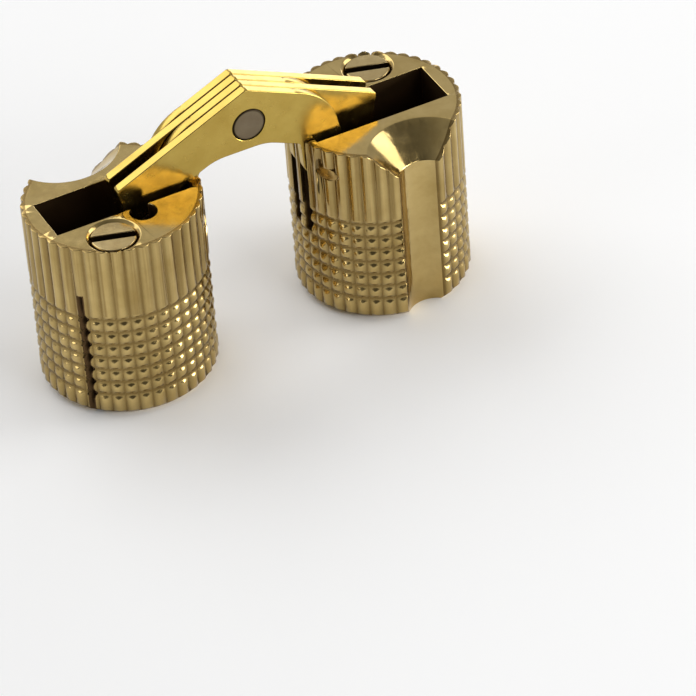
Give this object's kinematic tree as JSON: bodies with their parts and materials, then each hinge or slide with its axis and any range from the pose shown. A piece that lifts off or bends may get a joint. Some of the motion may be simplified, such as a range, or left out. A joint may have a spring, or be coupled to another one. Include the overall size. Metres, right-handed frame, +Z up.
{
  "type": "invisible barrel hinge",
  "caption": "Invisible barrel hinge shown open: knurled brass barrels for drilled holes, joined by interleaved cranked links on a steel rivet, with slotted locking screws.",
  "frame": {"origin": "on the floor plane under the barrels' ends, midway between the two barrel axes", "axes": "+X from the left barrel to the right one, +Y away from the picture's viewer, +Z up along the barrels from their ends to their faces"},
  "size_m": [0.0364, 0.014, 0.0226],
  "materials": {
    "barrel_brass": "bright plated, knurled",
    "pin_brass": "cut flush",
    "screw_brass": "bright, turned",
    "link_brass": "stamped, bright",
    "rivet_steel": "plain, worn grey"
  },
  "bodies": {
    "left_half": {"left_barrel": "barrel_brass", "left_pivot_pin": "pin_brass"},
    "link_a": {"link_a_inner": "link_brass", "link_a_outer": "link_brass", "centre_rivet": "rivet_steel"},
    "link_b": {"link_b_inner": "link_brass", "link_b_outer": "link_brass"},
    "right_half": {"right_barrel": "barrel_brass", "right_pivot_pin": "pin_brass"},
    "left_screw": {"left_locking_screw": "screw_brass"},
    "right_screw": {"right_locking_screw": "screw_brass"}
  },
  "joints": [
    {"name": "left_pivot", "type": "hinge", "parent": "left_half", "child": "link_a", "pos_m": [-0.0053, 0, 0.0138], "axis": [0, -1, 0], "range_deg": [0, 115.67]},
    {"name": "centre_pivot", "type": "hinge", "parent": "link_a", "child": "link_b", "pos_m": [0, 0, 0.0194], "axis": [0, -1, 0], "range_deg": [-51.4, 0]},
    {"name": "right_pivot", "type": "hinge", "parent": "link_b", "child": "right_half", "pos_m": [0.0053, 0, 0.0138], "axis": [0, -1, 0], "range_deg": [0, 115.7]},
    {"name": "left_screw_turn", "type": "hinge", "parent": "left_half", "child": "left_screw", "pos_m": [-0.01315, -0.00448, 0.016], "axis": [0, 0, 1], "range_deg": [0, 540]},
    {"name": "right_screw_turn", "type": "hinge", "parent": "right_half", "child": "right_screw", "pos_m": [0.01315, 0.00448, 0.016], "axis": [0, 0, 1], "range_deg": [0, 540]}
  ],
  "couplings": [
    {"joint": "centre_pivot", "follows": "left_pivot", "ratio": -0.44397},
    {"joint": "right_pivot", "follows": "left_pivot", "ratio": 1}
  ]
}
